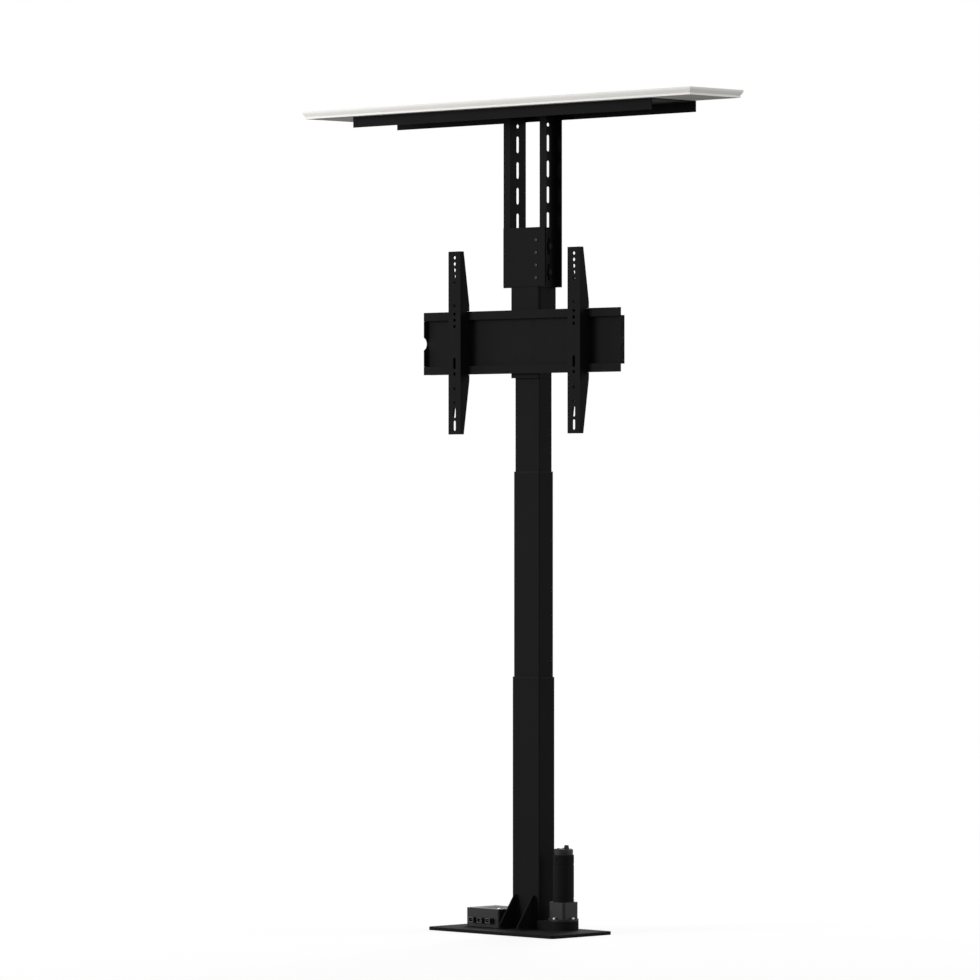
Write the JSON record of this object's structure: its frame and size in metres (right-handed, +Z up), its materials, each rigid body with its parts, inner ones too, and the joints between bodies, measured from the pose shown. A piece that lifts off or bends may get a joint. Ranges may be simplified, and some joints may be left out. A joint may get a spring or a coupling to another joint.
{
  "type": "tv lift mechanism",
  "caption": "Motorised telescopic column lift with a slotted television bracket, sliding arms and a lid carrier on its moving head.",
  "frame": {"origin": "on the column axis, on the underside of the floor plate", "axes": "+Z up along the column, +X to the right seen from the television side, -Y towards the television side"},
  "size_m": [1.299, 0.205, 1.98],
  "materials": {
    "black_coat": "fine textured black powder coat",
    "zinc_plate": "bright zinc plate",
    "ground_steel": "ground steel",
    "pulley_metal": "machined aluminium",
    "nylon_bush": "moulded nylon",
    "nut_bronze": "turned bronze",
    "black_abs": "moulded ABS with a fine texture",
    "circuit_board": "solder mask",
    "socket_plastic": "moulded nylon",
    "belt_rubber": "moulded neoprene",
    "lid_white": "satin white lacquer on fibreboard"
  },
  "bodies": {
    "base": {"base_plate": "black_coat", "base_gussets": "black_coat", "outer_tube": "black_coat", "outer_collar": "nylon_bush", "thrust_bearing": "ground_steel", "drive_belt": "belt_rubber", "belt_cover": "black_coat", "gearbox_housing": "black_abs", "gearbox_screws": "zinc_plate", "motor_can": "black_coat", "motor_end_cap": "black_abs", "control_box_base": "black_abs", "control_box_lid": "black_abs", "control_board": "circuit_board", "control_sockets": "socket_plastic", "control_box_screws": "zinc_plate"},
    "lower_screw_body": {"lower_screw": "ground_steel", "screw_pulley": "pulley_metal"},
    "motor_shaft_body": {"motor_shaft": "ground_steel", "motor_pulley": "pulley_metal"},
    "middle_stage": {"middle_tube": "black_coat", "middle_collar": "nylon_bush", "middle_glide": "nylon_bush", "middle_nut_block": "nylon_bush", "middle_nut": "nut_bronze", "upper_bearing": "ground_steel"},
    "upper_screw_body": {"upper_screw": "ground_steel"},
    "carriage": {"inner_tube": "black_coat", "inner_glide": "nylon_bush", "inner_nut_block": "nylon_bush", "inner_nut": "nut_bronze", "head_sleeve": "black_coat", "head_cap": "black_coat", "head_cap_screws": "zinc_plate", "guide_plate": "black_coat", "guide_screws": "zinc_plate", "tv_plate": "black_coat", "tv_plate_bolts": "zinc_plate", "riser_bolts": "zinc_plate", "riser_washers": "zinc_plate"},
    "lid_carrier": {"left_riser": "black_coat", "right_riser": "black_coat", "riser_crown": "black_coat", "lid_tray": "black_coat", "tray_bolts": "zinc_plate", "lid_panel": "lid_white", "lid_screws": "zinc_plate"},
    "left_arm_body": {"left_arm": "black_coat", "left_arm_lock": "black_abs"},
    "right_arm_body": {"right_arm": "black_coat", "right_arm_lock": "black_abs"}
  },
  "joints": [
    {"name": "middle_stage_slide", "type": "slide", "parent": "base", "child": "middle_stage", "axis": [0, 0, 1], "range_m": [-0.485, 0]},
    {"name": "carriage_slide", "type": "slide", "parent": "middle_stage", "child": "carriage", "axis": [0, 0, 1], "range_m": [-0.485, 0]},
    {"name": "lower_screw_turn", "type": "hinge", "parent": "base", "child": "lower_screw_body", "pos_m": [0, 0, 0.02], "axis": [0, 0, 1], "range_deg": [-8732, 1]},
    {"name": "upper_screw_turn", "type": "hinge", "parent": "middle_stage", "child": "upper_screw_body", "pos_m": [0, 0, 0.55], "axis": [0, 0, 1], "range_deg": [-8732, 1]},
    {"name": "motor_shaft_turn", "type": "hinge", "parent": "base", "child": "motor_shaft_body", "pos_m": [0.1, 0, 0.02], "axis": [0, 0, 1], "range_deg": [-8732, 1]},
    {"name": "lid_height_slide", "type": "slide", "parent": "carriage", "child": "lid_carrier", "axis": [0, 0, 1], "range_m": [-0.015, 0.015]},
    {"name": "left_arm_slide", "type": "slide", "parent": "carriage", "child": "left_arm_body", "axis": [1, 0, 0], "range_m": [-0.1, 0.1]},
    {"name": "right_arm_slide", "type": "slide", "parent": "carriage", "child": "right_arm_body", "axis": [1, 0, 0], "range_m": [-0.1, 0.1]}
  ],
  "couplings": [
    {"joint": "carriage_slide", "follows": "middle_stage_slide", "ratio": 1},
    {"joint": "lower_screw_turn", "follows": "middle_stage_slide", "rad_per_m": 314.16},
    {"joint": "upper_screw_turn", "follows": "middle_stage_slide", "rad_per_m": 314.16},
    {"joint": "motor_shaft_turn", "follows": "middle_stage_slide", "rad_per_m": 314.16}
  ]
}
